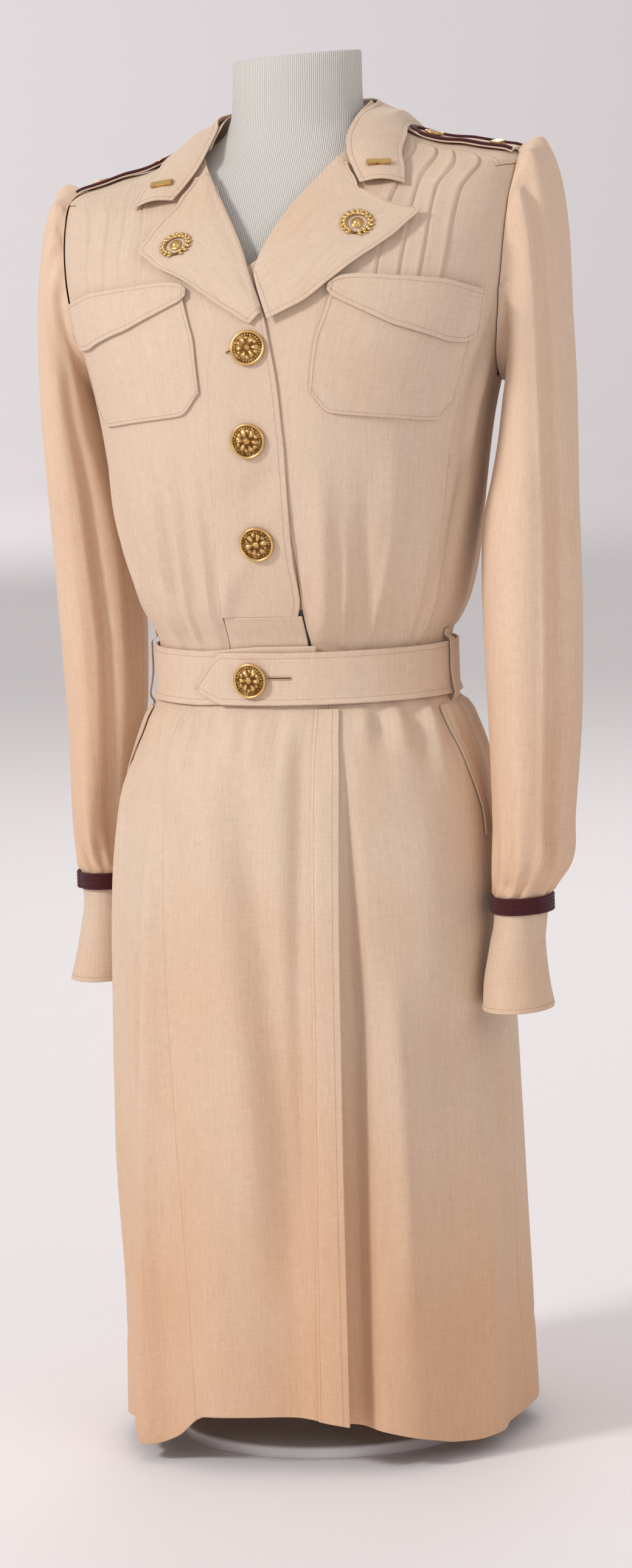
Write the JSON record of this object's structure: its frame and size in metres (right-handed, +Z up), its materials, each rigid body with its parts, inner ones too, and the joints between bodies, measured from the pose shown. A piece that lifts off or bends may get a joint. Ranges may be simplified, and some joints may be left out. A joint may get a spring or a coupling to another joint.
{
  "type": "nurse uniform dress on a dress form",
  "caption": "Long-sleeved belted shirtwaist uniform dress with notched lapels, shoulder loops and braided cuffs, standing on a limbless dress form.",
  "frame": {"origin": "centre of the form's round base, on its underside", "axes": "+Z up, the dress's front faces -Y, the wearer's left is +X"},
  "size_m": [0.4432, 0.328, 1.0853],
  "materials": {
    "beige_crepe": "matte crepe weave",
    "maroon_braid": "ribbed braid and cord",
    "gilt_metal": "worn gilt",
    "form_knit": "fine ribbed knit",
    "stand_metal": "satin white paint"
  },
  "bodies": {
    "root": {"belt": "beige_crepe", "belt_loop_left": "beige_crepe", "belt_loop_right": "beige_crepe", "bodice_back": "beige_crepe", "bodice_front_left": "beige_crepe", "bodice_front_right": "beige_crepe", "braid_left": "maroon_braid", "braid_right": "maroon_braid", "button_belt": "gilt_metal", "button_loop_left": "gilt_metal", "button_loop_right": "gilt_metal", "button_low": "gilt_metal", "button_middle": "gilt_metal", "button_top": "gilt_metal", "collar": "beige_crepe", "collar_bar_left": "gilt_metal", "collar_bar_right": "gilt_metal", "collar_stand": "beige_crepe", "cuff_left": "beige_crepe", "cuff_right": "beige_crepe", "form_base": "stand_metal", "form_pole": "stand_metal", "form_torso": "form_knit", "hip_pocket_edge_left": "beige_crepe", "hip_pocket_edge_right": "beige_crepe", "lapel_brooch_left": "gilt_metal", "lapel_brooch_right": "gilt_metal", "lapel_left": "beige_crepe", "lapel_right": "beige_crepe", "loop_piping_left": "maroon_braid", "loop_piping_right": "maroon_braid", "pocket_flap_left": "beige_crepe", "pocket_flap_right": "beige_crepe", "pocket_left": "beige_crepe", "pocket_right": "beige_crepe", "shoulder_bar_left": "gilt_metal", "shoulder_bar_right": "gilt_metal", "shoulder_loop_left": "beige_crepe", "shoulder_loop_right": "beige_crepe", "shoulder_yoke_left": "beige_crepe", "shoulder_yoke_right": "beige_crepe", "skirt_back_left": "beige_crepe", "skirt_back_right": "beige_crepe", "skirt_front": "beige_crepe", "skirt_front_strip": "beige_crepe", "skirt_side_left": "beige_crepe", "skirt_side_right": "beige_crepe", "sleeve_left": "beige_crepe", "sleeve_right": "beige_crepe", "waist_inset": "beige_crepe"}
  },
  "joints": []
}
